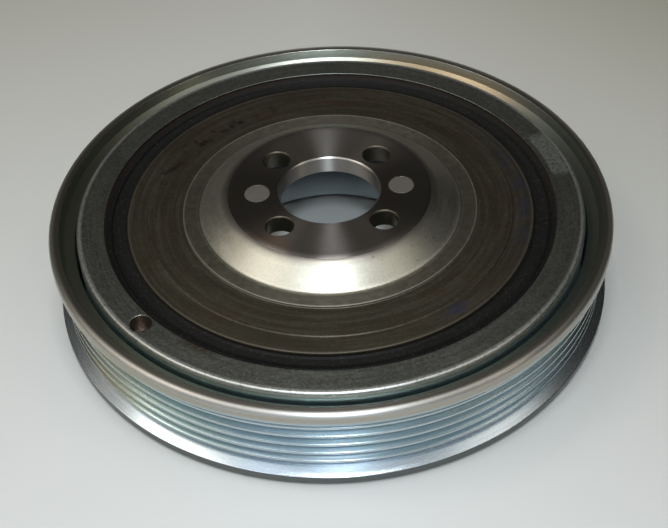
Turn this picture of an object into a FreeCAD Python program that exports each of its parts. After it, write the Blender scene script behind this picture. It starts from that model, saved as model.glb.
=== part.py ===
"""Crankshaft pulley with a torsional vibration damper and a sprung belt rim.

Millimetres. Z is the crankshaft's axis and points away from the engine. The pulley lies on
the back of its belt rim, so Z = 0 is that face, and the hub's dowel pins lie along X.

From the axis outwards the pieces are the hub, the coupling that lets the belt rim wind up
against the hub (inner ring, rubber, outer ring), the sleeve of the belt rim in its bush, and
round the hub's drum the damper rubber and its inertia ring.
"""
import FreeCAD, Part
import math
import os

VEC = FreeCAD.Vector
AXIS = VEC(0, 0, 1)

# Hub: the bolted centre
BORE_R = 15.75                # centring bore
BORE_CHAMFER = 0.4
BOLT_CIRCLE_R = 22.5
BOLT_COUNT = 4
BOLT_FIRST_DEG = 45.0         # the bolts sit half-way between the dowel pins
BOLT_HOLE_R = 4.2             # clearance for an M8 screw
PIN_R = 4.0
PIN_COUNT = 2
PIN_LENGTH = 14.0
PIN_CHAMFER = 0.6
PIN_SINK = 0.05               # the pins end just under the hub's face
PIN_GROOVE_WIDTH = 0.6        # relief groove behind the plate, where the free end starts
PIN_GROOVE_DEPTH = 0.25
PLATE_T = 6.0                 # bolted plate
PLATE_FLAT_R = 31.8
RECESS_STEP = 2.3             # the hollow's flat roof ends this far inside the plate's edge

# Hub: the turned cone, the step ring and the disc
CONE_RUN = 9.1
CONE_DROP = 5.6
STEP_WIDTH = 5.3
STEP_HEIGHT = 0.8
DISC_T = 5.75
DISC_SINK = 1.2               # the disc lies this far below the belt rim's front face
LAND_WIDTH = 6.6              # outer zone of the disc, turned slightly lower
LAND_DROP = 0.25
DISC_EDGE_CHAMFER = 0.6

# Hub: the crank-side recess, its sleeve and the drum
RECESS_R = 36.0
SLEEVE_T = 6.0
SLEEVE_Z = 2.0                # the sleeve's end above the belt rim's back face
SLEEVE_CHAMFER = 0.8
DRUM_T = 5.25
DRUM_Z = 9.0

# Coupling between the hub's sleeve and the belt rim's sleeve
COUPLING_RING_T = 1.5
COUPLING_RUBBER_T = 8.0
COUPLING_RING_Z = 4.0
COUPLING_RING_LENGTH = 16.0
COUPLING_RUBBER_MARGIN = 0.8  # metal left bare at each end of the rings
COUPLING_RUBBER_WAIST = 2.0   # depth of the hollow in each end of the rubber

# Sleeve bearing of the belt rim
RIM_SLEEVE_T = 3.0
BEARING_CLEARANCE = 0.05
BUSH_T = 2.45
BUSH_FLANGE_T = 2.0
BUSH_AXIAL_CLEARANCE = 0.2
BUSH_RECESS = 0.5             # the bush ends inside the drum

# Damper rubber and inertia ring
DAMPER_RUBBER_T = 7.0
DAMPER_RUBBER_Z = 11.5
DAMPER_RUBBER_WAIST = 1.4
RUBBER_LIP_DROP = 0.7         # the rubber's front edge below the ring's face
RUBBER_EDGE_DROP = 0.55       # and below the bevel of the hub's disc
RUBBER_HOLLOW = 0.8
RIDGE_OFFSET = 1.9            # mould line on the rubber, measured from the inertia ring
RIDGE_HEIGHT = 0.35
RING_T = 8.7
RING_Z = 9.5
RING_PROUD = 0.5              # the inertia ring stands this much above the hub's disc
RING_EDGE_CHAMFER = 0.7
BALANCE_HOLE_R = 3.25
BALANCE_HOLE_DEPTH = 8.0
BALANCE_HOLE_INSET = 5.05     # hole centre inside the ring's outer face
BALANCE_HOLE_DEG = -140.2
DRILL_POINT_DEG = 118.0

# Belt rim for a PK ribbed belt
GAP = 0.95                    # free gap round the inertia ring
RIM_WALL_T = 2.2              # metal between the groove roots and the rim's inner wall
GROOVE_COUNT = 6
GROOVE_PITCH = 3.56
GROOVE_ANGLE_DEG = 40.0
GROOVE_DEPTH = 3.0
CREST_FLAT = 0.8
FLANGE_H = 2.4                # flanges above the crests
LOWER_FLANGE_T = 3.3
UPPER_FLANGE_T = 4.0
LOWER_EDGE_CHAMFER = 0.8
UPPER_EDGE_CHAMFER = 0.7
LIP_WIDTH = 2.6               # flat front face of the rim
LIP_STEP_RUN = 1.1
LIP_STEP_DROP = 2.6
LIP_SLOPE_DROP = 1.8
FOOT_WIDTH = 4.2              # ring face that the pulley lies on
WEB_LIFT = 2.0
WEB_T = 4.5

# Radii worked out from the axis outwards
SLEEVE_R = RECESS_R + SLEEVE_T
COUPLING_IN_R = SLEEVE_R + COUPLING_RING_T
COUPLING_OUT_R = COUPLING_IN_R + COUPLING_RUBBER_T
RIM_SLEEVE_BORE_R = COUPLING_OUT_R + COUPLING_RING_T
RIM_SLEEVE_R = RIM_SLEEVE_BORE_R + RIM_SLEEVE_T
BUSH_BORE_R = RIM_SLEEVE_R + BEARING_CLEARANCE
DRUM_BORE_R = BUSH_BORE_R + BUSH_T
DISC_R = DRUM_BORE_R + DRUM_T
RING_BORE_R = DISC_R + DAMPER_RUBBER_T
RING_R = RING_BORE_R + RING_T
RIM_BORE_R = RING_R + GAP
ROOT_R = RIM_BORE_R + RIM_WALL_T
CREST_R = ROOT_R + GROOVE_DEPTH
RIM_R = CREST_R + FLANGE_H
CONE_FOOT_R = PLATE_FLAT_R + CONE_RUN
STEP_R = CONE_FOOT_R + STEP_WIDTH

# Heights worked out from the belt rim's back face upwards
FLANK_SLOPE = math.tan(math.radians(GROOVE_ANGLE_DEG / 2))
HALF_MOUTH = (GROOVE_PITCH - CREST_FLAT) / 2
HALF_ROOT = HALF_MOUTH - GROOVE_DEPTH * FLANK_SLOPE
FLANGE_REACH = HALF_MOUTH + FLANGE_H * FLANK_SLOPE
FIRST_GROOVE_Z = LOWER_FLANGE_T + FLANGE_REACH
LAST_GROOVE_Z = FIRST_GROOVE_Z + (GROOVE_COUNT - 1) * GROOVE_PITCH
RIM_TOP_Z = LAST_GROOVE_Z + FLANGE_REACH + UPPER_FLANGE_T
DISC_Z = RIM_TOP_Z - DISC_SINK
DISC_BACK_Z = DISC_Z - DISC_T
STEP_Z = DISC_Z + STEP_HEIGHT
PLATE_Z = STEP_Z + CONE_DROP
PLATE_BACK_Z = PLATE_Z - PLATE_T
LAND_Z = DISC_Z - LAND_DROP
RING_TOP_Z = DISC_Z + RING_PROUD
RIM_SLEEVE_TOP_Z = DISC_BACK_Z - BUSH_FLANGE_T - BUSH_AXIAL_CLEARANCE
WEB_TOP_Z = WEB_LIFT + WEB_T


def turned(outline):
    """The solid that a closed outline sweeps round the axis.

    Each corner is a radius, a height and, where its edge is broken, the leg of the chamfer.
    """
    corners = [VEC(r, 0, z) for r, z, *_ in outline]
    points = []
    for i, (_, _, *leg) in enumerate(outline):
        here = corners[i]
        if leg:
            back = (corners[i - 1] - here).normalize()
            ahead = (corners[(i + 1) % len(corners)] - here).normalize()
            points += [here + back * leg[0], here + ahead * leg[0]]
        else:
            points.append(here)
    face = Part.Face(Part.makePolygon(points + points[:1]))
    return face.revolve(VEC(0, 0, 0), AXIS, 360)


def around(radius, count, first_deg):
    """Centres of a round pattern of equal features."""
    angles = [math.radians(first_deg + 360.0 / count * k) for k in range(count)]
    return [VEC(radius * math.cos(a), radius * math.sin(a), 0) for a in angles]


def make_hub():
    """One steel piece: bolted plate, cone, step ring and disc, with the sleeve and drum behind."""
    cone_slope = CONE_DROP / CONE_RUN
    roof_r = PLATE_FLAT_R - RECESS_STEP
    roof_foot_z = PLATE_BACK_Z - (RECESS_R - roof_r) * cone_slope
    land_r = DISC_R - LAND_WIDTH
    blank = turned([
        (BORE_R, PLATE_BACK_Z),
        (BORE_R, PLATE_Z, BORE_CHAMFER),
        (PLATE_FLAT_R, PLATE_Z),
        (CONE_FOOT_R, STEP_Z),
        (STEP_R, STEP_Z),
        (STEP_R, DISC_Z),
        (land_r, DISC_Z),
        (land_r + LAND_DROP, LAND_Z),
        (DISC_R, LAND_Z, DISC_EDGE_CHAMFER),
        (DISC_R, DRUM_Z),
        (DRUM_BORE_R, DRUM_Z),
        (DRUM_BORE_R, DISC_BACK_Z),
        (SLEEVE_R, DISC_BACK_Z),
        (SLEEVE_R, SLEEVE_Z, SLEEVE_CHAMFER),
        (RECESS_R, SLEEVE_Z, SLEEVE_CHAMFER),
        (RECESS_R, roof_foot_z),
        (roof_r, PLATE_BACK_Z),
    ])
    bolts = around(BOLT_CIRCLE_R, BOLT_COUNT, BOLT_FIRST_DEG)
    pins = around(BOLT_CIRCLE_R, PIN_COUNT, 0.0)
    cuts = [Part.makeCylinder(BOLT_HOLE_R, PLATE_T, c + AXIS * PLATE_BACK_Z, AXIS) for c in bolts]
    cuts += [Part.makeCylinder(PIN_R, PLATE_T, c + AXIS * PLATE_BACK_Z, AXIS) for c in pins]
    return blank.cut(cuts)


def make_dowel_pins():
    """Pins pressed into the plate: flush in front, standing out behind towards the crankshaft."""
    top = PLATE_Z - PIN_SINK
    low = top - PIN_LENGTH
    groove_r = PIN_R - PIN_GROOVE_DEPTH
    pin = turned([
        (0, top),
        (PIN_R, top, PIN_CHAMFER),
        (PIN_R, PLATE_BACK_Z),
        (groove_r, PLATE_BACK_Z),
        (groove_r, PLATE_BACK_Z - PIN_GROOVE_WIDTH),
        (PIN_R, PLATE_BACK_Z - PIN_GROOVE_WIDTH),
        (PIN_R, low, PIN_CHAMFER),
        (0, low),
    ])
    return Part.makeCompound([pin.translated(c) for c in around(BOLT_CIRCLE_R, PIN_COUNT, 0.0)])


def make_coupling_ring(bore_r):
    """One of the two plain steel rings that the coupling rubber is bonded between."""
    top = COUPLING_RING_Z + COUPLING_RING_LENGTH
    outer_r = bore_r + COUPLING_RING_T
    return turned([
        (bore_r, COUPLING_RING_Z),
        (bore_r, top),
        (outer_r, top),
        (outer_r, COUPLING_RING_Z),
    ])


def make_coupling_rubber():
    """Rubber ring with hollow ends that lets the belt rim wind up against the hub."""
    low = COUPLING_RING_Z + COUPLING_RUBBER_MARGIN
    high = COUPLING_RING_Z + COUPLING_RING_LENGTH - COUPLING_RUBBER_MARGIN
    middle_r = (COUPLING_IN_R + COUPLING_OUT_R) / 2
    return turned([
        (COUPLING_IN_R, low),
        (COUPLING_IN_R, high),
        (middle_r, high - COUPLING_RUBBER_WAIST),
        (COUPLING_OUT_R, high),
        (COUPLING_OUT_R, low),
        (middle_r, low + COUPLING_RUBBER_WAIST),
    ])


def make_bearing_bush():
    """Flanged plain bush in the drum: the belt rim's sleeve turns in it and stops on its flange."""
    low = DRUM_Z + BUSH_RECESS
    flange_z = DISC_BACK_Z - BUSH_FLANGE_T
    return turned([
        (BUSH_BORE_R, low),
        (BUSH_BORE_R, flange_z),
        (RIM_SLEEVE_BORE_R, flange_z),
        (RIM_SLEEVE_BORE_R, DISC_BACK_Z),
        (DRUM_BORE_R, DISC_BACK_Z),
        (DRUM_BORE_R, low),
    ])


def make_damper_rubber():
    """Rubber ring between the hub's drum and the inertia ring, with a mould line in front."""
    hub_edge_z = LAND_Z - DISC_EDGE_CHAMFER - RUBBER_EDGE_DROP
    ring_edge_z = RING_TOP_Z - RUBBER_LIP_DROP
    ridge_r = RING_BORE_R - RIDGE_OFFSET
    return turned([
        (DISC_R, DAMPER_RUBBER_Z),
        (DISC_R, hub_edge_z),
        ((DISC_R + ridge_r) / 2, hub_edge_z - RUBBER_HOLLOW),
        (ridge_r, hub_edge_z + RIDGE_HEIGHT),
        (RING_BORE_R, ring_edge_z),
        (RING_BORE_R, DAMPER_RUBBER_Z),
        ((DISC_R + RING_BORE_R) / 2, DAMPER_RUBBER_Z + DAMPER_RUBBER_WAIST),
    ])


def make_inertia_ring():
    """Heavy steel ring with one blind hole, drilled to balance it."""
    ring = turned([
        (RING_BORE_R, RING_Z),
        (RING_BORE_R, RING_TOP_Z),
        (RING_R, RING_TOP_Z, RING_EDGE_CHAMFER),
        (RING_R, RING_Z),
    ])
    centre = around(RING_R - BALANCE_HOLE_INSET, 1, BALANCE_HOLE_DEG)[0]
    floor_z = RING_TOP_Z - BALANCE_HOLE_DEPTH
    point_h = BALANCE_HOLE_R / math.tan(math.radians(DRILL_POINT_DEG / 2))
    drill = Part.makeCylinder(BALANCE_HOLE_R, BALANCE_HOLE_DEPTH, centre + AXIS * floor_z, AXIS)
    point = Part.makeCone(0, BALANCE_HOLE_R, point_h, centre + AXIS * (floor_z - point_h), AXIS)
    return ring.cut(drill.fuse(point))


def belt_grooves():
    """The rim's outer outline from the upper flange down to the lower one."""
    outline = [(RIM_R, LAST_GROOVE_Z + FLANGE_REACH)]
    for k in reversed(range(GROOVE_COUNT)):
        z = FIRST_GROOVE_Z + k * GROOVE_PITCH
        outline.append((ROOT_R, z + HALF_ROOT))
        outline.append((ROOT_R, z - HALF_ROOT))
        if k > 0:
            outline.append((CREST_R, z - HALF_MOUTH))
            outline.append((CREST_R, z - HALF_MOUTH - CREST_FLAT))
    outline.append((RIM_R, FIRST_GROOVE_Z - FLANGE_REACH))
    return outline


def make_pulley_rim():
    """Belt rim with its grooves, the web behind the damper and the sleeve that runs in the bush."""
    lip_r = RIM_R - UPPER_EDGE_CHAMFER - LIP_WIDTH
    foot_r = RIM_R - LOWER_EDGE_CHAMFER - FOOT_WIDTH
    step_z = RIM_TOP_Z - LIP_STEP_DROP
    return turned([
        (RIM_SLEEVE_BORE_R, WEB_LIFT),
        (RIM_SLEEVE_BORE_R, RIM_SLEEVE_TOP_Z),
        (RIM_SLEEVE_R, RIM_SLEEVE_TOP_Z),
        (RIM_SLEEVE_R, WEB_TOP_Z),
        (RIM_BORE_R, WEB_TOP_Z),
        (RIM_BORE_R, step_z - LIP_SLOPE_DROP),
        (lip_r - LIP_STEP_RUN, step_z),
        (lip_r, RIM_TOP_Z),
        (RIM_R, RIM_TOP_Z, UPPER_EDGE_CHAMFER),
    ] + belt_grooves() + [
        (RIM_R, 0.0, LOWER_EDGE_CHAMFER),
        (foot_r, 0.0),
        (foot_r - WEB_LIFT, WEB_LIFT),
    ])


PIECES = {
    "hub": make_hub,
    "dowel_pins": make_dowel_pins,
    "coupling_inner_ring": lambda: make_coupling_ring(SLEEVE_R),
    "coupling_rubber": make_coupling_rubber,
    "coupling_outer_ring": lambda: make_coupling_ring(COUPLING_OUT_R),
    "bearing_bush": make_bearing_bush,
    "damper_rubber": make_damper_rubber,
    "inertia_ring": make_inertia_ring,
    "pulley_rim": make_pulley_rim,
}


def main():
    """Builds every piece and writes it to its own file."""
    os.makedirs("parts", exist_ok=True)
    for name, make in PIECES.items():
        make().exportStep(f"parts/{name}.step")


main()
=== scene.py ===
"""Looks of the crankshaft pulley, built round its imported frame.

Lengths are written in millimetres and angles in degrees, and both are converted once, where a
mesh, a lamp or the camera is made. Z is the crankshaft's axis. A turned piece is a profile of
radius and height swept round Z, and a bored face gets a patch of its own round each hole.
"""
import math

import bmesh
import bpy
import numpy as np
from mathutils import Matrix, Vector


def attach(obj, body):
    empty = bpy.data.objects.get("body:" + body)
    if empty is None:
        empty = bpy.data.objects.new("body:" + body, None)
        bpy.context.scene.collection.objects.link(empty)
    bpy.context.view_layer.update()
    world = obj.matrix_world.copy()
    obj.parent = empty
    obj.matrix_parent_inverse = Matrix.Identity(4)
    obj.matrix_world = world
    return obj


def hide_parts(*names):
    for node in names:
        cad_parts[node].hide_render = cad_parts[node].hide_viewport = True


MM = 0.001

# Hub
BORE_R = 15.75
BORE_CHAMFER = 0.4
HOLE_CIRCLE_R = 22.5
HOLE_BAND = (17.6, 27.4)      # zone of the bolted plate that holds the six holes
HOLE_HALF_DEG = 15.0          # half the sector that one hole's patch takes
BOLT_DEGS = (45.0, 135.0, 225.0, 315.0)
PIN_DEGS = (0.0, 180.0)
BOLT_HOLE_R = 4.2
BOLT_CHAMFER = 0.35
PIN_HOLE_BREAK = 0.12
PIN_R = 4.0
PIN_PLAY = 0.02               # how far a drawn pin stays clear of its hole
PLATE_Z = 34.807
PLATE_BACK_Z = 28.807
PLATE_FLAT_R = 31.8
CONE_FOOT_R = 40.9
STEP_R = 46.2
STEP_Z = 29.207
DISC_Z = 28.407
LAND_R = 57.15
LAND_DROP = 0.25
DISC_R = 63.75
DISC_BACK_Z = 22.657
DRUM_BORE_R = 58.5
DRUM_Z = 9.0
SLEEVE_R = 42.0
SLEEVE_Z = 2.0
RECESS_R = 36.0
ROOF_R = 29.5
ROOF_FOOT_Z = 24.807

# Dowel pins
PIN_TOP_Z = 34.757
PIN_LOW_Z = 20.757
PIN_GROOVE_Z = 28.207
PIN_GROOVE_R = 3.75

# Coupling, bush and belt rim's sleeve
COUPLING_Z = (4.0, 20.0)
COUPLING_T = 1.5
COUPLING_IN_R = 43.5
COUPLING_OUT_R = 51.5
RUBBER_MARGIN = 0.8
RUBBER_WAIST = 2.0
RIM_SLEEVE_BORE_R = 53.0
RIM_SLEEVE_R = 56.0
RIM_SLEEVE_TOP_Z = 20.457
BUSH_BORE_R = 56.05
BUSH_LOW_Z = 9.5
BUSH_FLANGE_Z = 20.657

# Damper rubber and inertia ring
RING_BORE_R = 70.75
RING_R = 79.45
RING_Z = (9.5, 28.907)
BALANCE_R = 3.25
BALANCE_CIRCLE_R = 74.4
BALANCE_DEG = -140.0
BALANCE_HALF_DEG = 4.0        # half the sector that the balance hole's patch takes
BALANCE_DEPTH = 8.0
BALANCE_POINT = 1.9
RUBBER_LOW_Z = 11.5
RUBBER_HUB_Z = 27.0           # height of the rubber's front edge at the hub
RUBBER_RING_Z = 28.2          # and at the inertia ring
MOULD_LINE_IN = 1.9           # the mould line's distance from the inertia ring

# Belt rim
RIM_BORE_R = 80.4
ROOT_R = 82.6
CREST_R = 85.6
RIM_R = 88.0
RIM_TOP_Z = 29.607
LIP_FOOT_Z = 25.207
LIP_BEND = (83.6, 27.007)     # radius and height at which the slope steepens
LIP_EDGE_R = 84.7
BACK_CHAMFER_R = (81.0, 83.0)
FIRST_GROOVE_Z = 5.554
GROOVE_PITCH = 3.56
GROOVE_COUNT = 6
HALF_MOUTH = 1.38
HALF_ROOT = 0.288
FLANGE_REACH = 2.2535
CREST_FLAT = 0.8
WEB_Z = (2.0, 6.5)

# Rounded corners
WIDE_ROUNDING = 1.3           # roundings above this get twice the arc steps
FLAT_HOLD = 0.12              # greatest distance of the points that keep the flats' shading flat

# Camera, fitted to the outlines of the concentric circles in the photograph
IMAGE_WIDTH_PX = 668
FOCAL_PX = 1317.0
SENSOR_MM = 36.0
CAMERA_MM = (-7.596, -315.84, 297.72)
CAMERA_FORWARD = (0.01863, 0.73078, -0.68237)
CAMERA_ROLL_DEG = 2.573

# Room. A pair named HEIGHTS or EAST is where a change starts and ends, along the unit direction.
ROOM_LEVEL = 0.06
ROOM_COLOUR = (1.0, 0.96, 0.86)
GLOW_DIRECTION_DEG = (-120.0, 50.0)      # azimuth and elevation of the soft glow's middle
GLOW_SPREAD_DEG = (75.0, 25.0)           # where the glow ends and where it is full
GLOW_LEVEL = 0.42
GLOW_COLOUR = (1.0, 0.985, 0.95)
GLOW_LOW_SHARE = 0.6                     # what is left of the glow near the floor
GLOW_HEIGHTS = (0.34, 0.72)
CEILING_LEVEL = 0.25
CEILING_HEIGHTS = (0.68, 0.90)
BAND_LEVEL = 0.10                        # a paler band just above the floor
BAND_HEIGHTS = (0.02, 0.22)
DARK_SHARE = 0.25                        # what is left of the room's light on its dark east side
DARK_EAST = (0.30, 0.62)

# Floor
FLOOR_R = 4.0
FLOOR_DROP = 0.0001                      # metres below the pulley's foot
# The fade from FLOOR_NEAR to FLOOR_FAR is painted light falloff.
FLOOR_NEAR = (0.685, 0.685, 0.685)
FLOOR_FAR = (0.218, 0.203, 0.148)
FLOOR_FADE = 480.0                       # length of the whole fade from near to far
FLOOR_START = 0.27                       # share of the fade that is reached at the axis

# Lamps: name, azimuth and elevation in degrees, size in metres, radiance, colour
LAMP_DISTANCE = 1.2
LAMPS = (
    ("key", (-91.0, 57.0), (0.15, 0.22), 58.0, (0.78, 0.91, 1.0)),
    ("side_left", (-138.0, 67.0), (0.24, 0.22), 2.4, (0.84, 0.93, 1.0)),
    ("softbox_left", (-175.0, 58.0), (0.52, 0.42), 2.0, (1.0, 0.95, 0.84)),
    ("softbox_right", (-4.0, 61.0), (0.48, 0.34), 1.1, (1.0, 0.97, 0.88)),
    ("panel_left", (165.0, 62.0), (0.12, 0.34), 4.5, (1.0, 0.98, 0.94)),
    ("overhead", (-84.0, 86.5), (0.30, 0.16), 24.0, (0.96, 0.98, 1.0)),
    ("window_left", (-178.0, 34.0), (0.80, 0.34), 1.0, (1.0, 0.88, 0.72)),
    ("warm_right", (-30.0, 30.0), (0.26, 0.16), 3.8, (1.0, 0.84, 0.64)),
)

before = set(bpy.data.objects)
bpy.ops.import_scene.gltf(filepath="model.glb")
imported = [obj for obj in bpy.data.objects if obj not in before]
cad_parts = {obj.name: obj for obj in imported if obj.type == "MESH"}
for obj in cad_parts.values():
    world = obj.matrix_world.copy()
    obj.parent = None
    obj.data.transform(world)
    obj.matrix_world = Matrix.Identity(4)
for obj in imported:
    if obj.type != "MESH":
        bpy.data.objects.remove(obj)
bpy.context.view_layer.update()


# Shapes

def rounded_path(corners, closed, arc_steps=3):
    """A profile with its corners rounded, as rows of radius and height, and each edge's zone.

    Each corner is (radius, height, rounding, zone of the edge after it). The rounding is an arc
    tangent to both edges: its ends lie rounding / tan(half the corner's angle) from the corner.
    A further point on either side, at most FLAT_HOLD away, keeps the flats' shading flat.
    """
    points = np.array([c[:2] for c in corners], float)
    count = len(points)
    rows, zones = [], []
    for i, (_, _, rounding, zone) in enumerate(corners):
        here = points[i]
        at_end = not closed and i in (0, count - 1)
        if at_end or rounding <= 0:
            rows.append(here[None])
            zones.append([zone])
            continue
        before, after = points[i - 1] - here, points[(i + 1) % count] - here
        len_b, len_a = np.linalg.norm(before), np.linalg.norm(after)
        before, after = before / len_b, after / len_a
        half = math.acos(np.clip(before @ after, -1, 1)) / 2
        reach = min(rounding / math.tan(half), 0.45 * len_b, 0.45 * len_a)
        radius = reach * math.tan(half)
        middle = before + after
        centre = here + middle / np.linalg.norm(middle) * radius / math.sin(half)
        start, stop = here + before * reach - centre, here + after * reach - centre
        turn = math.pi - 2 * half
        steps = 2 * arc_steps if rounding > WIDE_ROUNDING else arc_steps
        t = np.linspace(0, 1, steps + 1)[:, None]
        arc = centre + (np.sin((1 - t) * turn) * start + np.sin(t * turn) * stop) / math.sin(turn)
        spare_b = min(FLAT_HOLD, 0.3 * (len_b - reach))
        spare_a = min(FLAT_HOLD, 0.3 * (len_a - reach))
        first = here + before * (reach + spare_b)
        last = here + after * (reach + spare_a)
        rows.append(np.vstack([first, arc, last]))
        old = corners[i - 1][3]
        cut = (steps + 1) // 2 + 1
        zones.append([old] * cut + [zone] * (steps + 3 - cut))
    return np.vstack(rows), np.concatenate(zones).astype(int)


def sweep(path, zones, closed, segments, from_deg=0.0, to_deg=360.0):
    """Sweeps a profile round Z: x = r cos a, y = r sin a, z = height, over the stated angles.

    Returns vertices, quads and zones. Quads run along the profile and then round the axis.
    """
    whole = abs(to_deg - from_deg - 360.0) < 1e-9
    steps = segments if whole else int(round(segments * (to_deg - from_deg) / 360.0)) + 1
    angles = np.radians(from_deg + (to_deg - from_deg) * np.arange(steps) / (steps - (not whole)))
    r, z = path[:, 0][:, None], path[:, 1][:, None]
    verts = np.stack([r * np.cos(angles), r * np.sin(angles), z + 0 * angles], axis=-1)
    rows = len(path)
    i = np.arange(rows if closed else rows - 1)[:, None]
    j = np.arange(steps if whole else steps - 1)[None]
    i2, j2 = (i + 1) % rows, (j + 1) % steps
    quads = np.stack([i * steps + j, i * steps + j2, i2 * steps + j2, i2 * steps + j], axis=-1)
    zone_of = np.repeat(zones[: len(i)], j.shape[1])
    return verts.reshape(-1, 3), quads.reshape(-1, 4), zone_of


def hole_patch(mid_deg, half_deg, band, circle_r, stations, segments, side_steps):
    """A square-cornered sector of a bored face, drawn into its hole.

    The first parameter runs round the sector's border, the second along the stations, each
    (blend, radius, height, zone): a point is (1 - blend) of the border point plus blend of the
    point at that radius from the hole's axis in the same direction, at that height.
    """
    inner, outer = band
    arc_steps = int(round(segments * 2 * half_deg / 360.0))
    lo, hi = math.radians(mid_deg - half_deg), math.radians(mid_deg + half_deg)
    arc = np.linspace(lo, hi, arc_steps + 1)
    side = np.linspace(inner, outer, side_steps + 1)
    loop = np.vstack([
        np.column_stack([inner * np.cos(arc[:-1]), inner * np.sin(arc[:-1])]),
        np.column_stack([side[:-1] * math.cos(hi), side[:-1] * math.sin(hi)]),
        np.column_stack([outer * np.cos(arc[:0:-1]), outer * np.sin(arc[:0:-1])]),
        np.column_stack([side[:0:-1] * math.cos(lo), side[:0:-1] * math.sin(lo)]),
    ])
    mid = math.radians(mid_deg)
    centre = circle_r * np.array([math.cos(mid), math.sin(mid)])
    out = loop - centre
    direction = out / np.linalg.norm(out, axis=1)[:, None]
    blend, radius, height = (np.array([s[k] for s in stations], float)[:, None, None] for k in range(3))
    flat = (1 - blend) * loop + blend * (centre + radius * direction)
    verts = np.concatenate([flat, height + 0 * flat[..., :1]], axis=-1)
    rows, around = len(stations), len(loop)
    i, j = np.arange(rows - 1)[:, None], np.arange(around)[None]
    j2 = (j + 1) % around
    quads = np.stack([i * around + j, (i + 1) * around + j, (i + 1) * around + j2, i * around + j2],
                     axis=-1)
    zone_of = np.repeat([s[3] for s in stations[:-1]], around)
    return verts.reshape(-1, 3), quads.reshape(-1, 4), zone_of


def piece(name, parts, materials, replaces):
    """One welded mesh from grids of vertices in millimetres, riding on the object's only body."""
    verts, quads, zones, base = [], [], [], 0
    for v, q, zone in parts:
        verts.append(v)
        quads.append(q + base)
        zones.append(zone)
        base += len(v)
    verts, quads, zones = np.vstack(verts) * MM, np.vstack(quads), np.concatenate(zones)
    mesh = bpy.data.meshes.new(name)
    mesh.from_pydata(verts, [], quads)
    for made in materials:
        mesh.materials.append(made)
    mesh.polygons.foreach_set("material_index", zones.astype(np.int32))
    mesh.polygons.foreach_set("use_smooth", np.ones(len(quads), bool))
    obj = bpy.data.objects.new(name, mesh)
    bpy.context.scene.collection.objects.link(obj)
    bm = bmesh.new()
    bm.from_mesh(mesh)
    bmesh.ops.remove_doubles(bm, verts=bm.verts, dist=1e-7)
    bmesh.ops.dissolve_degenerate(bm, edges=bm.edges, dist=1e-8)
    bmesh.ops.recalc_face_normals(bm, faces=bm.faces)
    bm.to_mesh(mesh)
    bm.free()
    mesh.update()
    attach(obj, "root")
    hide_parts(replaces)


# Materials

class Nodes:
    """A node tree and short names for the nodes that materials and the world share."""

    def __init__(self, tree):
        self.tree = tree

    def link(self, source, socket):
        """Feeds a socket from an output, or sets it to a plain value."""
        if hasattr(source, "links"):
            self.tree.links.new(source, socket)
        else:
            socket.default_value = source

    def math(self, operation, a, b=0.0, c=0.0):
        """One step of arithmetic on outputs or plain numbers."""
        node = self.tree.nodes.new("ShaderNodeMath")
        node.operation = operation
        for value, socket in zip((a, b, c), node.inputs):
            self.link(value, socket)
        return node.outputs[0]

    def times(self, *factors):
        """The product of two or more factors."""
        product = factors[0]
        for factor in factors[1:]:
            product = self.math("MULTIPLY", product, factor)
        return product

    def split(self, vector):
        """The three parts of a vector."""
        node = self.tree.nodes.new("ShaderNodeSeparateXYZ")
        self.link(vector, node.inputs[0])
        return node.outputs

    def ramp(self, value, low, high, to_low=0.0, to_high=1.0):
        """A smooth change from to_low to to_high while the value goes from low to high."""
        node = self.tree.nodes.new("ShaderNodeMapRange")
        node.interpolation_type = "SMOOTHSTEP"
        for given, socket in zip((value, low, high, to_low, to_high), node.inputs):
            self.link(given, socket)
        return node.outputs[0]

    def mix(self, factor, a, b):
        """Colour a where the factor is 0 and colour b where it is 1."""
        node = self.tree.nodes.new("ShaderNodeMix")
        node.data_type = "RGBA"
        for value, socket in ((factor, node.inputs[0]), (a, node.inputs[6]), (b, node.inputs[7])):
            self.link((*value, 1.0) if isinstance(value, tuple) else value, socket)
        return node.outputs[2]


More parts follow.
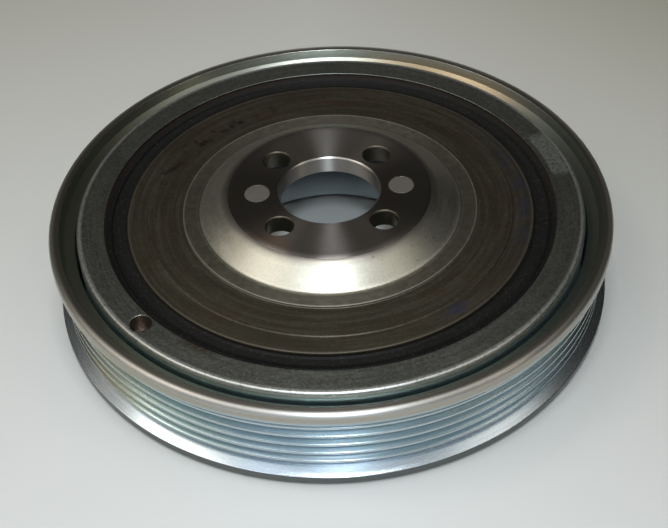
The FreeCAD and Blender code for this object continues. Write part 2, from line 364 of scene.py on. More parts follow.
class Finish(Nodes):
    """A procedural material: a Principled shader, places on the pulley and patterns.

    The places are radius and height in millimetres, angle in degrees, and the shares east and
    north of a point's direction from the axis.
    """

    def __init__(self, name, metallic, **sockets):
        self.material = bpy.data.materials.new(name)
        self.material.use_nodes = True
        super().__init__(self.material.node_tree)
        self.shader = self.tree.nodes["Principled BSDF"]
        self.shader.inputs["Metallic"].default_value = metallic
        for key, value in sockets.items():
            self.shader.inputs[key.replace("_", " ")].default_value = value
        self.place = self.tree.nodes.new("ShaderNodeTexCoord").outputs["Object"]
        x, y, z = self.split(self.place)
        far = self.math("SQRT", self.math("MULTIPLY_ADD", x, x, self.math("MULTIPLY", y, y)))
        self.radius = self.math("MULTIPLY", far, 1 / MM)
        self.height = self.math("MULTIPLY", z, 1 / MM)
        self.angle = self.math("MULTIPLY", self.math("ARCTAN2", y, x), 180 / math.pi)
        self.east, self.north = self.math("DIVIDE", x, far), self.math("DIVIDE", y, far)

    def vector(self, x, y, z):
        """A vector from its three parts."""
        node = self.tree.nodes.new("ShaderNodeCombineXYZ")
        for value, socket in zip((x, y, z), node.inputs):
            self.link(value, socket)
        return node.outputs[0]

    def noise(self, vector, scale, detail=3.0, roughness=0.55, distortion=0.0):
        """Soft noise between 0 and 1, with about `scale` waves per unit of the vector."""
        node = self.tree.nodes.new("ShaderNodeTexNoise")
        self.link(vector, node.inputs["Vector"])
        node.inputs["Scale"].default_value = scale
        node.inputs["Detail"].default_value = detail
        node.inputs["Roughness"].default_value = roughness
        node.inputs["Distortion"].default_value = distortion
        return node.outputs["Fac"]

    def grains(self, vector, scale, socket="Color"):
        """A grey value of its own in each cell of a Voronoi pattern, or the distance to its middle."""
        node = self.tree.nodes.new("ShaderNodeTexVoronoi")
        self.link(vector, node.inputs["Vector"])
        node.inputs["Scale"].default_value = scale
        if socket == "Distance":
            return node.outputs["Distance"]
        split = self.tree.nodes.new("ShaderNodeSeparateColor")
        self.link(node.outputs["Color"], split.inputs[0])
        return split.outputs[0]

    def window(self, value, low, high, soft):
        """1 where the value lies between low and high, falling to 0 over `soft`."""
        rise = self.ramp(value, low - soft, low + soft)
        fall = self.ramp(value, high - soft, high + soft, 1.0, 0.0)
        return self.times(rise, fall)

    def sector(self, mid_deg, half_deg, mid_r, half_r, softness=0.5):
        """1 in the middle of a stretch of ring, falling to 0 at its edges."""
        away = self.math("WRAP", self.math("SUBTRACT", self.angle, mid_deg), 180.0, -180.0)
        turn = self.ramp(self.math("ABSOLUTE", away), (1 - softness) * half_deg, half_deg, 1.0, 0.0)
        across = self.math("ABSOLUTE", self.math("SUBTRACT", self.radius, mid_r))
        return self.times(turn, self.ramp(across, (1 - softness) * half_r, half_r, 1.0, 0.0))

    def rings(self, pitch, detail=3.0, wander=0.25):
        """Turning marks: noise that changes every `pitch` mm along the profile, hardly round it."""
        drift = self.noise(self.place, 40.0, 2.0)
        along = self.math("MULTIPLY_ADD", drift, wander * pitch, self.radius)
        return self.noise(self.vector(along, self.height, 0.0), 1.0 / pitch, detail, 0.7)

    def arcs(self, pitch, reach_deg):
        """Streaks that run round the axis for about `reach_deg` and are `pitch` mm wide."""
        turn = 180 / (math.pi * reach_deg)
        along = self.math("DIVIDE", self.math("ADD", self.radius, self.height), pitch)
        place = self.vector(self.times(self.east, turn), self.times(self.north, turn), along)
        return self.noise(place, 1.0, 4.0, 0.6)

    def finish(self, colour, roughness, height=None, depth=0.0, tangent=False):
        """Feeds the shader and returns the material. The bump's depth is in millimetres."""
        self.link(colour, self.shader.inputs["Base Color"])
        self.link(roughness, self.shader.inputs["Roughness"])
        if height is not None:
            bump = self.tree.nodes.new("ShaderNodeBump")
            bump.inputs["Strength"].default_value = 1.0
            bump.inputs["Distance"].default_value = depth * MM
            self.link(height, bump.inputs["Height"])
            self.link(bump.outputs[0], self.shader.inputs["Normal"])
        if tangent:
            node = self.tree.nodes.new("ShaderNodeTangent")
            node.direction_type = "RADIAL"
            node.axis = "Z"
            self.link(node.outputs[0], self.shader.inputs["Tangent"])
        return self.material


TURNED = 0.25      # turn of the anisotropy that lays the marks round the axis


def turned_plate():
    """Fine-turned steel of the bolted plate, with a faint copper stain by one screw hole."""
    f = Finish("turned_plate", 1.0, Anisotropic=1.0, Anisotropic_Rotation=TURNED)
    marks, arcs = f.rings(0.3), f.arcs(0.35, 40.0)
    cloud = f.noise(f.place, 90.0, 5.0, 0.6)
    colour = f.mix(cloud, (0.188, 0.164, 0.146), (0.262, 0.248, 0.240))
    colour = f.mix(f.ramp(arcs, 0.45, 0.75, 0.0, 0.3), colour, (0.25, 0.245, 0.245))
    stain = f.times(f.sector(-130.0, 22.0, 28.5, 4.5, 0.9), f.ramp(cloud, 0.3, 0.6))
    colour = f.mix(f.times(stain, 0.55), colour, (0.36, 0.25, 0.18))
    rough = f.math("MULTIPLY_ADD", marks, 0.12, f.math("MULTIPLY_ADD", arcs, 0.05, 0.145))
    return f.finish(colour, rough, marks, 0.004, tangent=True)


def turned_cone():
    """Brighter, coarser-turned steel of the cone, with a few dark pits on one side."""
    f = Finish("turned_cone", 1.0, Anisotropic=0.15, Anisotropic_Rotation=TURNED)
    marks, arcs = f.rings(0.55), f.arcs(1.2, 25.0)
    cloud = f.noise(f.place, 55.0, 4.0)
    colour = f.mix(cloud, (0.40, 0.380, 0.310), (0.53, 0.520, 0.462))
    colour = f.mix(f.ramp(arcs, 0.5, 0.75, 0.0, 0.4), colour, (0.60, 0.595, 0.55))
    fine = f.noise(f.place, 1200.0, 3.0, 0.65)
    colour = f.mix(f.ramp(fine, 0.36, 0.60, 0.2, 0.0), colour, (0.24, 0.23, 0.195))
    pits = f.times(f.ramp(f.grains(f.place, 420.0, "Distance"), 0.10, 0.30, 1.0, 0.0),
                   f.ramp(f.noise(f.place, 160.0, 2.0), 0.52, 0.62),
                   f.sector(-55.0, 40.0, 36.0, 6.5, 0.6))
    colour = f.mix(f.times(pits, 0.6), colour, (0.12, 0.11, 0.095))
    top = f.ramp(f.math("MULTIPLY_ADD", cloud, 1.2, f.radius), PLATE_FLAT_R + 0.4, PLATE_FLAT_R + 3.6)
    colour = f.mix(top, (0.18, 0.165, 0.15), colour)
    rough = f.math("MULTIPLY_ADD", marks, 0.10, f.math("MULTIPLY_ADD", arcs, 0.10, 0.215))
    rough = f.math("MULTIPLY_ADD", fine, 0.10, rough)
    return f.finish(colour, rough, marks, 0.006, tangent=True)


def step_ring():
    """Grey turned steel of the low step at the cone's foot, rubbed bright on its outer edge."""
    f = Finish("step_ring", 1.0, Anisotropic=0.4, Anisotropic_Rotation=TURNED)
    marks, fine = f.rings(0.7), f.noise(f.place, 500.0, 3.0, 0.6)
    cloud = f.noise(f.place, 70.0, 4.0, 0.6)
    colour = f.mix(cloud, (0.178, 0.165, 0.128), (0.278, 0.262, 0.212))
    colour = f.mix(f.times(f.window(f.radius, 41.2, 41.9, 0.25), 0.5), colour, (0.31, 0.30, 0.25))
    edge = f.times(f.ramp(f.radius, STEP_R - 0.55, STEP_R - 0.2), f.ramp(fine, 0.3, 0.6, 0.3, 1.0))
    colour = f.mix(f.times(edge, 0.6), colour, (0.26, 0.252, 0.22))
    rough = f.math("MULTIPLY_ADD", fine, 0.2, f.math("MULTIPLY_ADD", marks, 0.14, 0.20))
    rough = f.math("ADD", rough, f.times(f.ramp(f.radius, STEP_R - 0.7, STEP_R - 0.3), 0.22))
    return f.finish(colour, rough, marks, 0.006, tangent=True)


def phosphated_disc():
    """Dark brown phosphated steel with specks, smudges and blue temper stains; the recess is a bluish
    grey with painted shade, dark at the top and pale near the floor.
    """
    f = Finish("phosphated_disc", 1.0, Anisotropic=0.1, Anisotropic_Rotation=TURNED)
    arcs, cloud = f.arcs(1.6, 30.0), f.noise(f.place, 38.0, 5.0, 0.6)
    fine, specks = f.noise(f.place, 800.0, 3.0, 0.6), f.noise(f.place, 1500.0, 2.0, 0.6)
    colour = f.mix(cloud, (0.054, 0.047, 0.033), (0.096, 0.086, 0.063))
    colour = f.mix(f.ramp(arcs, 0.42, 0.68, 0.0, 0.6), colour, (0.112, 0.101, 0.079))
    colour = f.mix(f.ramp(specks, 0.60, 0.74, 0.0, 0.5), colour, (0.17, 0.158, 0.13))
    blue = f.math("MAXIMUM", f.sector(2.0, 42.0, 61.0, 3.2, 0.8),
                  f.sector(-54.0, 9.0, 60.0, 3.4, 0.8))
    patches = f.ramp(f.noise(f.place, 150.0, 3.0, 0.6), 0.42, 0.68)
    colour = f.mix(f.times(blue, patches, 0.7), colour, (0.056, 0.064, 0.112))
    rust = f.times(f.ramp(f.noise(f.place, 75.0, 4.0, 0.65, 0.6), 0.53, 0.70),
                   f.window(f.radius, 49.0, 62.0, 1.5))
    colour = f.mix(f.times(rust, 0.55), colour, (0.085, 0.055, 0.034))
    dark = f.times(f.sector(135.0, 45.0, 55.5, 5.0, 0.7),
                   f.ramp(f.noise(f.place, 210.0, 3.0, 0.6), 0.52, 0.64))
    colour = f.mix(f.times(dark, 0.7), colour, (0.022, 0.018, 0.015))
    # Painted shade and light: the recess wall is painted dark under the hub's roof and pale near the
    # floor, where light comes in through the bore.
    tube = f.times(f.ramp(f.radius, 44.0, 43.0), f.ramp(f.height, 25.5, 24.5))
    recess_painted_shade = f.mix(f.ramp(f.height, 15.0, 1.5), (0.085, 0.105, 0.118), (0.52, 0.58, 0.60))
    colour = f.mix(tube, colour, recess_painted_shade)
    land = f.times(f.window(f.radius, LAND_R - 0.35, LAND_R + 0.15, 0.2), f.ramp(fine, 0.35, 0.6))
    colour = f.mix(f.times(land, 0.15), colour, (0.22, 0.21, 0.18))
    edge = f.times(f.window(f.radius, DISC_R - 0.75, DISC_R + 0.1, 0.25), f.ramp(fine, 0.32, 0.52))
    colour = f.mix(f.times(edge, f.ramp(f.height, 26.5, 27.2), 0.6), colour, (0.10, 0.088, 0.07))
    rough = f.math("MULTIPLY_ADD", fine, 0.14, f.math("MULTIPLY_ADD", arcs, 0.12, 0.34))
    worn = f.ramp(f.radius, DISC_R - 0.9, DISC_R - 0.6)
    rough = f.math("ADD", rough, f.math("MULTIPLY_ADD", worn, 0.12, f.times(tube, 0.16)))
    return f.finish(colour, rough, fine, 0.01, tangent=True)


def zinc_ring():
    """Dull speckled zinc on the inertia ring, with a painted highlight on the rounded outer corner."""
    f = Finish("zinc_ring", 1.0, Anisotropic=0.25, Anisotropic_Rotation=TURNED)
    grain, arcs = f.grains(f.place, 1900.0), f.arcs(0.9, 18.0)
    cloud, fine = f.noise(f.place, 45.0, 4.0), f.noise(f.place, 900.0, 2.0, 0.6)
    colour = f.mix(grain, (0.155, 0.162, 0.146), (0.258, 0.268, 0.244))
    colour = f.mix(f.ramp(arcs, 0.45, 0.7, 0.0, 0.4), colour, (0.26, 0.275, 0.258))
    colour = f.mix(f.ramp(cloud, 0.45, 0.7, 0.0, 0.45), colour, (0.145, 0.17, 0.163))
    colour = f.mix(f.ramp(f.noise(f.place, 210.0, 3.0, 0.6), 0.50, 0.68, 0.0, 0.25), colour,
                   (0.15, 0.153, 0.138))
    rust = f.times(f.sector(-124.7, 7.0, 71.6, 1.4, 0.7), f.ramp(fine, 0.35, 0.55))
    colour = f.mix(f.times(rust, 0.8), colour, (0.10, 0.055, 0.04))
    etched = f.times(f.sector(14.0, 9.6, 75.0, 3.3, 0.3), f.ramp(fine, 0.3, 0.55, 0.55, 1.0))
    colour = f.mix(f.times(etched, 0.55), colour, (0.33, 0.355, 0.33))
    # Painted highlight: the rounded outer corner is painted bright to widen the lamps' highlight there.
    corner = f.times(f.ramp(f.radius, RING_R - 2.0, RING_R - 1.0), f.ramp(f.height, 26.9, 27.8))
    corner = f.times(corner, f.ramp(fine, 0.28, 0.5, 0.55, 1.0))
    colour = f.mix(corner, colour, (0.48, 0.49, 0.47))
    wall = f.times(f.ramp(f.height, 27.3, 26.7), f.ramp(f.radius, 76.0, 78.0))
    colour = f.mix(f.times(wall, 0.9), colour, f.mix(cloud, (0.44, 0.55, 0.55), (0.58, 0.73, 0.75)))
    # Below the face: a reddish rust tint in the balance hole, painted lighter as a painted highlight on
    # its walls.
    hole = f.times(f.ramp(f.height, 28.7, 28.4), f.ramp(f.radius, 78.4, 78.2))
    colour = f.mix(f.times(hole, 0.7), colour, (0.40, 0.325, 0.285))
    rough = f.math("MULTIPLY_ADD", fine, 0.16, f.math("MULTIPLY_ADD", arcs, 0.12, 0.20))
    rough = f.math("MULTIPLY_ADD", corner, 0.07, f.math("MULTIPLY_ADD", etched, 0.12, rough))
    return f.finish(colour, rough, fine, 0.004, tangent=True)


def zinc_rim():
    """Bright bluish zinc on the belt rim, worn on its edges, with faint passivation colours, some
    painted reflection and painted light and shade.
    """
    f = Finish("zinc_rim", 1.0, Anisotropic=0.7, Anisotropic_Rotation=TURNED)
    marks, arcs = f.rings(0.4), f.arcs(0.7, 25.0)
    tint = f.noise(f.place, 14.0, 2.0)
    colour = f.mix(f.ramp(arcs, 0.35, 0.65), (0.40, 0.51, 0.575), (0.52, 0.61, 0.67))
    colour = f.mix(f.ramp(tint, 0.48, 0.66, 0.0, 0.4), colour, (0.50, 0.54, 0.46))
    # Green and yellow on the west side: passivation tints, partly a painted reflection of the colours
    # the film shows at a grazing view.
    green = f.times(f.ramp(f.east, -0.25, -0.6), f.ramp(arcs, 0.35, 0.6, 0.5, 1.0))
    colour = f.mix(f.times(green, 0.6), colour, (0.36, 0.47, 0.41))
    yellow = f.times(f.ramp(f.east, -0.58, -0.85), f.ramp(arcs, 0.35, 0.6, 0.4, 1.0))
    colour = f.mix(f.times(yellow, 0.7), colour, (0.42, 0.39, 0.25))
    band = f.times(f.ramp(f.height, 25.4, 27.2), f.ramp(f.height, 28.9, 28.2),
                   f.ramp(f.radius, 86.5, 87.5))
    colour = f.mix(f.times(band, f.ramp(arcs, 0.3, 0.55, 0.4, 0.9)), colour, (0.42, 0.362, 0.28))
    face = f.times(f.ramp(f.height, 29.3, 29.5), f.ramp(f.radius, 84.2, 84.8))
    colour = f.mix(face, colour, f.mix(arcs, (0.25, 0.238, 0.20), (0.38, 0.368, 0.335)))
    slope = f.times(f.window(f.radius, RIM_BORE_R - 0.5, 84.6, 0.1), f.ramp(f.height, 24.6, 25.3),
                    f.ramp(f.height, 29.5, 29.2))
    colour = f.mix(f.times(slope, 0.8), colour, f.mix(tint, (0.22, 0.222, 0.175), (0.30, 0.30, 0.25)))
    # Painted reflection: a warm glint painted on the back-right part of the slope.
    painted_warm_reflection = f.times(slope, f.sector(56.0, 30.0, 82.3, 3.0, 0.7))
    colour = f.mix(f.times(painted_warm_reflection, 0.85), colour, (0.42, 0.33, 0.21))
    crest = f.times(f.window(f.radius, CREST_R - 0.16, CREST_R + 0.3, 0.1),
                    f.window(f.height, 2.8, 25.8, 0.2))
    colour = f.mix(f.times(crest, 0.5), colour, (0.60, 0.66, 0.70))
    corner = f.times(f.ramp(f.radius, 85.7, 87.0), f.ramp(f.height, 27.7, 28.9))
    colour = f.mix(f.times(corner, 0.85), colour, (0.54, 0.52, 0.49))
    # Painted shade: the foot beside the floor is painted near black, as contact shade.
    foot = f.times(f.ramp(f.radius, 86.2, 87.0), f.ramp(f.height, 3.7, 3.3))
    colour = f.mix(f.times(foot, 0.9), colour, (0.11, 0.112, 0.103))
    # Painted light: the lower flange's up-facing slope gets a brighter, bluer zinc than the rest of the
    # rim, where the lamps light it.
    low_flank = f.times(f.window(f.height, 3.2, 5.4, 0.15), f.window(f.radius, 82.9, 87.9, 0.15))
    bright = f.mix(tint, (0.66, 0.76, 0.90), (0.76, 0.80, 0.82))
    colour = f.mix(f.times(low_flank, 0.85), colour, bright)
    rough = f.math("MULTIPLY_ADD", marks, 0.10, f.math("MULTIPLY_ADD", arcs, 0.14, 0.13))
    rough = f.math("MULTIPLY_ADD", low_flank, 0.02, f.math("MULTIPLY_ADD", slope, 0.08, rough))
    rough = f.math("MULTIPLY_ADD", corner, 0.16, rough)
    return f.finish(colour, rough, marks, 0.004, tangent=True)


def bored_steel():
    """Bright bored steel of the hub's bore."""
    f = Finish("bored_steel", 1.0, Anisotropic=1.0, Anisotropic_Rotation=TURNED)
    marks = f.noise(f.vector(0.0, 0.0, f.height), 3.5, 3.0, 0.7)
    cloud = f.noise(f.place, 120.0, 3.0)
    colour = f.mix(cloud, (0.58, 0.54, 0.50), (0.68, 0.67, 0.66))
    rough = f.math("MULTIPLY_ADD", marks, 0.10, 0.29)
    return f.finish(colour, rough, marks, 0.003, tangent=True)


def black_rubber():
    """Moulded rubber with dust in its grain."""
    f = Finish("black_rubber", 0.0, Specular_IOR_Level=0.14)
    grain, cloud = f.noise(f.place, 900.0, 3.0), f.noise(f.place, 50.0, 3.0)
    colour = f.mix(cloud, (0.003, 0.0028, 0.0028), (0.007, 0.0065, 0.006))
    dust = f.ramp(f.noise(f.place, 1300.0, 2.0, 0.6), 0.58, 0.72, 0.0, 0.35)
    colour = f.mix(dust, colour, (0.05, 0.042, 0.036))
    edge = f.times(f.window(f.radius, RING_BORE_R - 0.55, RING_BORE_R + 0.1, 0.2),
                   f.ramp(f.height, 26.0, 26.6))
    colour = f.mix(f.times(edge, 0.6), colour, (0.022, 0.014, 0.012))
    rough = f.math("MULTIPLY_ADD", grain, 0.22, 0.46)
    return f.finish(colour, rough, grain, 0.02)


def ground_pin():
    """End-ground steel of the dowel pins."""
    f = Finish("ground_pin", 1.0)
    grain = f.noise(f.place, 1200.0, 3.0)
    cloud = f.noise(f.place, 300.0, 3.0)
    colour = f.mix(cloud, (0.17, 0.158, 0.14), (0.215, 0.20, 0.185))
    return f.finish(colour, f.math("MULTIPLY_ADD", grain, 0.2, 0.52), grain, 0.008)


def drawn_ring():
    """Drawn steel of the two coupling rings."""
    f = Finish("drawn_ring", 1.0, Anisotropic=0.4, Anisotropic_Rotation=TURNED)
    marks, arcs = f.rings(0.8), f.arcs(1.0, 20.0)
    colour = f.mix(arcs, (0.30, 0.30, 0.29), (0.42, 0.42, 0.40))
    return f.finish(colour, f.math("MULTIPLY_ADD", marks, 0.2, 0.34), marks, 0.008, tangent=True)


def bush_plastic():
    """Pale moulded plastic of the bearing bush."""
    f = Finish("bush_plastic", 0.0)
    grain, cloud = f.noise(f.place, 500.0, 3.0), f.noise(f.place, 60.0, 3.0)
    colour = f.mix(cloud, (0.47, 0.41, 0.27), (0.58, 0.52, 0.38))
    return f.finish(colour, f.math("MULTIPLY_ADD", grain, 0.2, 0.4), grain, 0.01)


# Pieces

def closed_ring(corners, segments=360, **rounding):
    """A closed profile with rounded corners, swept right round."""
    path, zones = rounded_path(corners, True, **rounding)
    return [sweep(path, zones, True, segments)]


def make_hub():
    """The hub: two swept profiles, the plain sectors between the holes and six hole patches."""
    plate, cone, disc, step, bored = range(5)
    segments, side_steps = 480, 10
    inner, outer = HOLE_BAND
    outside = [
        (outer, PLATE_Z, 0, plate),
        (PLATE_FLAT_R, PLATE_Z, 7.0, cone),
        (CONE_FOOT_R, STEP_Z, 3.5, step),
        (STEP_R, STEP_Z, 0.22, step),
        (STEP_R, DISC_Z, 0.12, disc),
        (LAND_R, DISC_Z, 0.03, disc),
        (LAND_R + LAND_DROP, DISC_Z - LAND_DROP, 0.05, disc),
        (DISC_R, DISC_Z - LAND_DROP, 0.4, disc),
        (DISC_R, DRUM_Z, 0.6, disc),
        (DRUM_BORE_R, DRUM_Z, 0.6, disc),
        (DRUM_BORE_R, DISC_BACK_Z, 1.0, disc),
        (SLEEVE_R, DISC_BACK_Z, 1.0, disc),
        (SLEEVE_R, SLEEVE_Z, 0.8, disc),
        (RECESS_R, SLEEVE_Z, 0.8, disc),
        (RECESS_R, ROOF_FOOT_Z, 1.0, disc),
        (ROOF_R, PLATE_BACK_Z, 1.0, plate),
        (outer, PLATE_BACK_Z, 0, plate),
    ]
    bore = [
        (inner, PLATE_BACK_Z, 0, plate),
        (BORE_R + BORE_CHAMFER, PLATE_BACK_Z, 0.05, bored),
        (BORE_R, PLATE_BACK_Z + BORE_CHAMFER, 0.05, bored),
        (BORE_R, PLATE_Z - BORE_CHAMFER, 0.08, bored),
        (BORE_R + BORE_CHAMFER, PLATE_Z, 0.08, plate),
        (inner, PLATE_Z, 0, plate),
    ]
    parts = []
    for corners in (outside, bore):
        path, zones = rounded_path(corners, False)
        parts.append(sweep(path, zones, False, segments))
    holes = [(deg, BOLT_HOLE_R, BOLT_CHAMFER) for deg in BOLT_DEGS]
    holes += [(deg, PIN_R, PIN_HOLE_BREAK) for deg in PIN_DEGS]
    # Stations that lie close together keep the shading of flat and chamfer apart.
    for deg, radius, chamfer in holes:
        rim = radius + chamfer
        stations = [(s, rim + 0.1, PLATE_Z, plate) for s in np.linspace(0, 1, 7)]
        stations += [(1, rim + 0.02, PLATE_Z, plate), (1, rim - 0.02, PLATE_Z - 0.01, disc),
                     (1, radius + 0.03, PLATE_Z - chamfer + 0.02, disc),
                     (1, radius, PLATE_Z - chamfer - 0.03, step),
                     (1, radius, PLATE_Z - chamfer - 0.15, step),
                     (1, radius, PLATE_BACK_Z + 0.35, step),
                     (1, radius, PLATE_BACK_Z + 0.22, step),
                     (1, radius + 0.2, PLATE_BACK_Z + 0.01, plate),
                     (1, radius + 0.24, PLATE_BACK_Z, plate)]
        stations += [(s, radius + 0.35, PLATE_BACK_Z, plate) for s in np.linspace(1, 0, 7)]
        parts.append(hole_patch(deg, HOLE_HALF_DEG, HOLE_BAND, HOLE_CIRCLE_R, stations,
                                segments, side_steps))
    degs = sorted(PIN_DEGS + BOLT_DEGS)
    across = np.linspace(inner, outer, side_steps + 1)
    front = np.column_stack([across, np.full_like(across, PLATE_Z)])
    back = np.column_stack([across[::-1], np.full_like(across, PLATE_BACK_Z)])
    zones = np.full(side_steps, plate)
    for here, after in zip(degs, degs[1:] + [degs[0] + 360.0]):
        lo, hi = here + HOLE_HALF_DEG, after - HOLE_HALF_DEG
        parts.append(sweep(front, zones, False, segments, lo, hi))
        parts.append(sweep(back, zones, False, segments, lo, hi))
    finishes = [MATERIALS[name] for name in ("plate", "cone", "disc", "step", "bored")]
    piece("hub_body", parts, finishes, "hub")


def make_pins():
    """Two dowel pins, each a profile swept round its own axis."""
    body_r = PIN_R - PIN_PLAY
    corners = [
        (0.0, PIN_TOP_Z, 0, 0),
        (body_r, PIN_TOP_Z, 0.1, 0),
        (body_r, PLATE_BACK_Z, 0.05, 0),
        (PIN_GROOVE_R, PLATE_BACK_Z, 0.1, 0),
        (PIN_GROOVE_R, PIN_GROOVE_Z, 0.1, 0),
        (body_r, PIN_GROOVE_Z, 0.05, 0),
        (body_r, PIN_LOW_Z, 0.6, 0),
        (0.0, PIN_LOW_Z, 0, 0),
    ]
    path, zones = rounded_path(corners, False)
    verts, quads, zone_of = sweep(path, zones, False, 128)
    parts = []
    for deg in PIN_DEGS:
        angle = math.radians(deg)
        shift = HOLE_CIRCLE_R * np.array([math.cos(angle), math.sin(angle), 0.0])
        parts.append((verts + shift, quads, zone_of))
    piece("dowel_pin_pair", parts, [MATERIALS["pin"]], "dowel_pins")


def make_coupling_ring(name, bore_r, node):
    """One of the coupling's two plain steel rings."""
    low, high = COUPLING_Z
    parts = closed_ring([
        (bore_r, low, 0.3, 0), (bore_r, high, 0.3, 0),
        (bore_r + COUPLING_T, high, 0.3, 0), (bore_r + COUPLING_T, low, 0.3, 0),
    ], arc_steps=4)
    piece(name, parts, [MATERIALS["drawn"]], node)


def make_coupling_rubber():
    """The bonded rubber: its two ends are hollow, the depth a sine along the radius."""
    low, high = COUPLING_Z[0] + RUBBER_MARGIN, COUPLING_Z[1] - RUBBER_MARGIN
    t = np.linspace(0, 1, 15)
    radius = COUPLING_IN_R + (COUPLING_OUT_R - COUPLING_IN_R) * t
    dip = RUBBER_WAIST * np.sin(math.pi * t)
    path = np.vstack([np.column_stack([radius, high - dip]), np.column_stack([radius, low + dip])[::-1]])
    parts = [sweep(path, np.zeros(len(path), int), True, 360)]
    piece("coupling_rubber_body", parts, [MATERIALS["rubber"]], "coupling_rubber")


def make_bush():
    """The bearing bush: a plain sleeve with an inward flange at its top."""
    parts = closed_ring([
        (BUSH_BORE_R, BUSH_LOW_Z, 0.3, 0), (BUSH_BORE_R, BUSH_FLANGE_Z, 0.1, 0),
        (RIM_SLEEVE_BORE_R, BUSH_FLANGE_Z, 0.2, 0), (RIM_SLEEVE_BORE_R, DISC_BACK_Z, 0.2, 0),
        (DRUM_BORE_R, DISC_BACK_Z, 1.0, 0), (DRUM_BORE_R, BUSH_LOW_Z, 0.3, 0),
    ])
    piece("bearing_bush_body", parts, [MATERIALS["bush"]], "bearing_bush")


def make_damper_rubber():
    """The rubber ring: hollow faces front and back and a thin mould line near the ring."""
    ridge_r = RING_BORE_R - MOULD_LINE_IN
    corners = [
        (DISC_R, RUBBER_LOW_Z, 0, 0),
        (DISC_R, RUBBER_HUB_Z, 0.1, 0),
        (DISC_R + 0.7, RUBBER_HUB_Z - 0.5, 0.6, 0),
        (DISC_R + 3.0, RUBBER_HUB_Z - 0.75, 2.0, 0),
        (ridge_r - 0.5, RUBBER_HUB_Z - 0.35, 0.2, 0),
        (ridge_r, RUBBER_HUB_Z + 0.35, 0.12, 0),
        (ridge_r + 0.4, RUBBER_HUB_Z - 0.15, 0.2, 0),
        (RING_BORE_R - 0.5, RUBBER_HUB_Z + 0.35, 0.4, 0),
        (RING_BORE_R, RUBBER_RING_Z, 0.1, 0),
        (RING_BORE_R, RUBBER_LOW_Z, 0, 0),
        ((DISC_R + RING_BORE_R) / 2, RUBBER_LOW_Z + 1.4, 3.0, 0),
    ]
    parts = closed_ring(corners, 480)
    piece("damper_rubber_body", parts, [MATERIALS["rubber"]], "damper_rubber")


def make_inertia_ring():
    """The ring: an open profile, the face's plain sector and the balance hole's patch."""
    segments, side_steps = 720, 18
    low, top = RING_Z
    inner, outer = RING_BORE_R + 0.35, RING_R - 2.0
    around = [
        (outer, top, 0, 0),
        (RING_R, top, 1.8, 0),
        (RING_R, low, 0.8, 0),
        (RING_BORE_R, low, 0.8, 0),
        (RING_BORE_R, top, 0.2, 0),
        (inner, top, 0, 0),
    ]
    path, zones = rounded_path(around, False, arc_steps=6)
    parts = [sweep(path, zones, False, segments)]
    across = np.linspace(inner, outer, side_steps + 1)
    face = np.column_stack([across, np.full_like(across, top)])
    parts.append(sweep(face, np.zeros(side_steps, int), False, segments,
                       BALANCE_DEG + BALANCE_HALF_DEG, BALANCE_DEG + 360.0 - BALANCE_HALF_DEG))
    floor_z, wall_r = top - BALANCE_DEPTH, BALANCE_R - 0.06
    stations = [(s, BALANCE_R + 0.02, top, 0) for s in np.linspace(0, 1, 6)]
    stations += [(1, BALANCE_R, top - 0.02, 0), (1, wall_r, top - 0.15, 0),
                 (1, wall_r, top - 0.4, 0), (1, wall_r, floor_z + 0.1, 0),
                 (1, wall_r - 0.02, floor_z, 0), (1, BALANCE_R / 2, floor_z - BALANCE_POINT / 2, 0),
                 (1, 0.0, floor_z - BALANCE_POINT, 0)]
    parts.append(hole_patch(BALANCE_DEG, BALANCE_HALF_DEG, (inner, outer), BALANCE_CIRCLE_R,
                            stations, segments, side_steps))
    piece("inertia_ring_body", parts, [MATERIALS["ring"]], "inertia_ring")


def make_rim():
    """The belt rim: one closed profile with its lip, six grooves, web and sleeve."""
    last = FIRST_GROOVE_Z + (GROOVE_COUNT - 1) * GROOVE_PITCH
    corners = [
        (RIM_SLEEVE_BORE_R, WEB_Z[0], 0.5, 0),
        (RIM_SLEEVE_BORE_R, RIM_SLEEVE_TOP_Z, 0.4, 0),
        (RIM_SLEEVE_R, RIM_SLEEVE_TOP_Z, 0.4, 0),
        (RIM_SLEEVE_R, WEB_Z[1], 1.5, 0),
        (RIM_BORE_R, WEB_Z[1], 1.5, 0),
        (RIM_BORE_R, LIP_FOOT_Z, 0.3, 0),
        (*LIP_BEND, 0.2, 0),
        (LIP_EDGE_R, RIM_TOP_Z, 0.15, 0),
        (RIM_R, RIM_TOP_Z, 2.1, 0),
        (RIM_R, last + FLANGE_REACH, 0.3, 0),
    ]
    for k in reversed(range(GROOVE_COUNT)):
        z = FIRST_GROOVE_Z + k * GROOVE_PITCH
        corners += [(ROOT_R, z + HALF_ROOT, 0.2, 0), (ROOT_R, z - HALF_ROOT, 0.2, 0)]
        if k:
            corners += [(CREST_R, z - HALF_MOUTH, 0.25, 0),
                        (CREST_R, z - HALF_MOUTH - CREST_FLAT, 0.25, 0)]
    corners += [
        (RIM_R, FIRST_GROOVE_Z - FLANGE_REACH, 0.3, 0),
        (RIM_R, 0.0, 1.4, 0),
        (BACK_CHAMFER_R[1], 0.0, 0.3, 0),
        (BACK_CHAMFER_R[0], WEB_Z[0], 0.5, 0),
    ]
    parts = closed_ring(corners, 360)
    piece("pulley_rim_body", parts, [MATERIALS["rim"]], "pulley_rim")


MATERIALS = {
    "plate": turned_plate(), "cone": turned_cone(), "step": step_ring(),
    "disc": phosphated_disc(), "bored": bored_steel(),
    "ring": zinc_ring(), "rim": zinc_rim(), "rubber": black_rubber(), "pin": ground_pin(),
    "drawn": drawn_ring(), "bush": bush_plastic(),
}
make_hub()
make_pins()
make_coupling_ring("coupling_inner_sleeve", SLEEVE_R, "coupling_inner_ring")
make_coupling_ring("coupling_outer_sleeve", COUPLING_OUT_R, "coupling_outer_ring")
make_coupling_rubber()
make_bush()
make_damper_rubber()
make_inertia_ring()
make_rim()


# Floor, light and camera

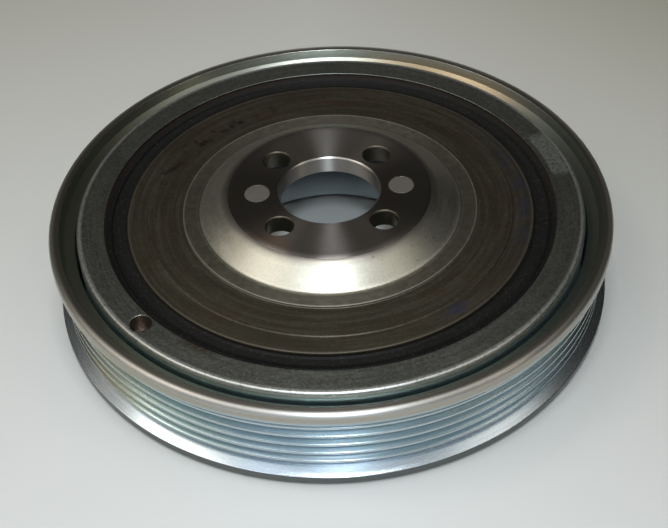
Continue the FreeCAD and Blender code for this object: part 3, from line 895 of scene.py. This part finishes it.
def make_floor():
    """A pale floor, painted darker and warmer to the north and to both sides as painted light falloff.
    """
    mesh = bpy.data.meshes.new("floor")
    a = np.linspace(0, 2 * math.pi, 96, endpoint=False)
    verts = np.column_stack([FLOOR_R * np.cos(a), FLOOR_R * np.sin(a), 0 * a - FLOOR_DROP])
    mesh.from_pydata(verts, [], [list(range(len(a)))])
    floor = bpy.data.objects.new("floor", mesh)
    bpy.context.scene.collection.objects.link(floor)
    f = Finish("pale_floor", 0.0)
    side = f.math("MULTIPLY_ADD", f.math("ABSOLUTE", f.east), 0.60, f.times(f.east, 0.34))
    away = f.times(f.radius, f.math("MULTIPLY_ADD", f.north, 0.94, side))
    fade = f.math("MULTIPLY_ADD", away, 1 / FLOOR_FADE, FLOOR_START)
    fade = f.math("MINIMUM", f.math("MAXIMUM", fade, 0.0), 1.0)
    mesh.materials.append(f.finish(f.mix(fade, FLOOR_NEAR, FLOOR_FAR), 0.6))


def direction(azimuth_deg, elevation_deg):
    """The unit vector that points to an azimuth and an elevation."""
    azimuth, elevation = math.radians(azimuth_deg), math.radians(elevation_deg)
    return Vector((math.cos(elevation) * math.cos(azimuth),
                   math.cos(elevation) * math.sin(azimuth), math.sin(elevation)))


def make_lamp(name, direction_deg, size, radiance, colour):
    """A soft lamp that faces the pulley."""
    away = direction(*direction_deg)
    data = bpy.data.lights.new(name, "AREA")
    data.shape = "RECTANGLE"
    data.size, data.size_y = size
    data.energy = radiance * math.pi * size[0] * size[1]
    data.color = colour
    lamp = bpy.data.objects.new(name, data)
    lamp.matrix_world = (Matrix.Translation(away * LAMP_DISTANCE)
                         @ away.to_track_quat("Z", "Y").to_matrix().to_4x4())
    bpy.context.scene.collection.objects.link(lamp)


def make_world():
    """A dim room, darker to the east, with a pale band near the floor and a broad soft glow."""
    world = bpy.data.worlds.new("room")
    world.use_nodes = True
    room = Nodes(world.node_tree)
    nodes = room.tree.nodes
    nodes.clear()
    background = nodes.new("ShaderNodeBackground")
    place = nodes.new("ShaderNodeTexCoord").outputs["Generated"]
    east, _, height = room.split(place)
    toward = nodes.new("ShaderNodeVectorMath")
    toward.operation = "DOT_PRODUCT"
    room.link(place, toward.inputs[0])
    room.link(direction(*GLOW_DIRECTION_DEG), toward.inputs[1])
    edge, core = (math.cos(math.radians(v)) for v in GLOW_SPREAD_DEG)
    glow = room.times(room.ramp(toward.outputs["Value"], edge, core),
                      room.ramp(height, *GLOW_HEIGHTS, GLOW_LOW_SHARE, 1.0))
    band = room.times(room.ramp(height, *BAND_HEIGHTS, BAND_LEVEL, ROOM_LEVEL),
                      room.ramp(east, *DARK_EAST, 1.0, DARK_SHARE))
    ceiling = room.ramp(height, *CEILING_HEIGHTS, 0.0, CEILING_LEVEL - ROOM_LEVEL)
    level = room.math("ADD", room.math("ADD", band, ceiling), room.times(glow, GLOW_LEVEL))
    room.link(room.mix(glow, ROOM_COLOUR, GLOW_COLOUR), background.inputs["Color"])
    room.link(level, background.inputs["Strength"])
    room.link(background.outputs[0], nodes.new("ShaderNodeOutputWorld").inputs[0])
    bpy.context.scene.world = world


def make_camera():
    """The photograph's camera. Its right side is turned up by the roll."""
    forward = Vector(CAMERA_FORWARD).normalized()
    level = forward.cross(Vector((0, 0, 1))).normalized()
    up = level.cross(forward)
    roll = math.radians(CAMERA_ROLL_DEG)
    right = level * math.cos(roll) - up * math.sin(roll)
    top = level * math.sin(roll) + up * math.cos(roll)
    data = bpy.data.cameras.new("camera")
    data.sensor_fit = "HORIZONTAL"
    data.sensor_width = SENSOR_MM
    data.lens = SENSOR_MM * FOCAL_PX / IMAGE_WIDTH_PX
    data.clip_start = 0.01
    camera = bpy.data.objects.new("camera", data)
    turn = Matrix((right, top, -forward)).transposed().to_4x4()
    camera.matrix_world = Matrix.Translation(Vector(CAMERA_MM) * MM) @ turn
    bpy.context.scene.collection.objects.link(camera)
    bpy.context.scene.camera = camera


make_floor()
make_world()
for lamp in LAMPS:
    make_lamp(*lamp)
make_camera()
bpy.context.scene.view_settings.view_transform = "Standard"
